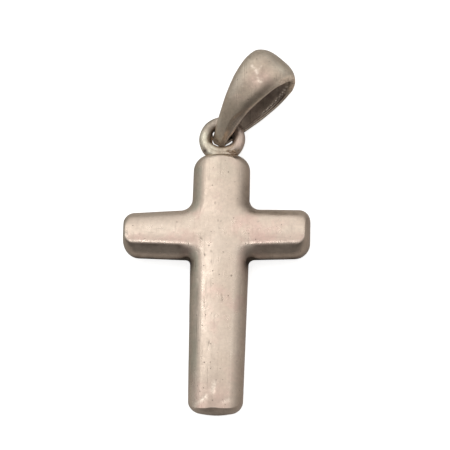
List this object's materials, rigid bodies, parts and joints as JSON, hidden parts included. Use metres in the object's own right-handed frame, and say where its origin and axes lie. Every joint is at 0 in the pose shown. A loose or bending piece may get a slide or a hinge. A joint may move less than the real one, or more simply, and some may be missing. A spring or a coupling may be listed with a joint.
{
  "type": "cross pendant",
  "caption": "Solid puffed cross pendant lying on its back, with a wire ring soldered to its top end and a tapered teardrop bail hanging in the ring for a chain.",
  "frame": {"origin": "on the flat of the back, where the centre lines of the shaft and the arms cross", "axes": "+X along the right arm, +Y up the shaft towards the ring and the bail, +Z out of the front face, away from the surface that it lies on"},
  "size_m": [0.0165, 0.0323, 0.0057],
  "materials": {
    "cross_silver": "worn satin silver with a warm tarnish, fine scratches and small pits",
    "bail_silver": "worn satin silver, darker tarnish on the inside"
  },
  "bodies": {
    "root": {"cross_with_ring": "cross_silver", "bail": "bail_silver"}
  },
  "joints": []
}
